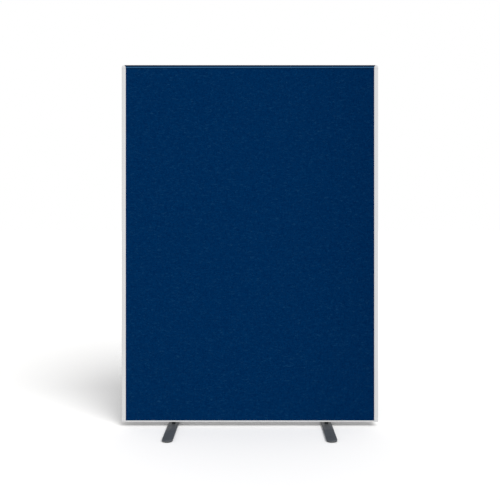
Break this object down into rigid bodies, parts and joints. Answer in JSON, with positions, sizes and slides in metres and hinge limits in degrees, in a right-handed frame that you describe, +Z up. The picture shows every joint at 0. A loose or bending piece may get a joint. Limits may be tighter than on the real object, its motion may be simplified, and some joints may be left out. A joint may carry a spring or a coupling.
{
  "type": "acoustic divider screen",
  "caption": "Tall flat cloth-covered acoustic screen with slim plain edge trims, standing on flat feet that swivel about their bolts.",
  "frame": {"origin": "on the floor under the middle of the panel", "axes": "+Z up, +X to the right seen from the front, the front cloth faces -Y"},
  "size_m": [1, 0.4, 1.41],
  "materials": {
    "timber": "matte",
    "dowel": "matte",
    "infill": "matte",
    "board": "matte",
    "screw": "satin",
    "wadding": "matte",
    "cloth": "matte",
    "staple": "satin",
    "navy_trim": "satin",
    "grey_trim": "satin",
    "insert": "satin",
    "bush": "satin",
    "bolt": "satin",
    "spacer": "satin",
    "blade": "satin",
    "pad": "matte"
  },
  "bodies": {
    "screen": {"left_stile": "timber", "right_stile": "timber", "top_rail": "timber", "middle_rail": "timber", "bottom_rail": "timber", "frame_dowels": "dowel", "upper_infill": "infill", "lower_infill": "infill", "front_board": "board", "back_board": "board", "board_screws": "screw", "front_wadding": "wadding", "back_wadding": "wadding", "front_cover": "cloth", "back_cover": "cloth", "cover_staples": "staple", "top_trim": "navy_trim", "bottom_trim": "grey_trim", "left_trim": "grey_trim", "right_trim": "grey_trim", "trim_screws": "screw", "top_left_corner": "grey_trim", "top_right_corner": "grey_trim", "bottom_left_corner": "grey_trim", "bottom_right_corner": "grey_trim", "left_insert": "insert", "right_insert": "insert", "left_bush": "bush", "right_bush": "bush", "left_bolt": "bolt", "right_bolt": "bolt"},
    "left_foot": {"left_blade": "blade", "left_pads": "pad", "left_spacer": "spacer"},
    "right_foot": {"right_blade": "blade", "right_pads": "pad", "right_spacer": "spacer"}
  },
  "joints": [
    {"name": "left_foot_swivel", "type": "hinge", "parent": "screen", "child": "left_foot", "pos_m": [-0.3, 0, 0.008], "axis": [0, 0, 1], "range_deg": [-90, 90]},
    {"name": "right_foot_swivel", "type": "hinge", "parent": "screen", "child": "right_foot", "pos_m": [0.3, 0, 0.008], "axis": [0, 0, 1], "range_deg": [-90, 90]}
  ]
}
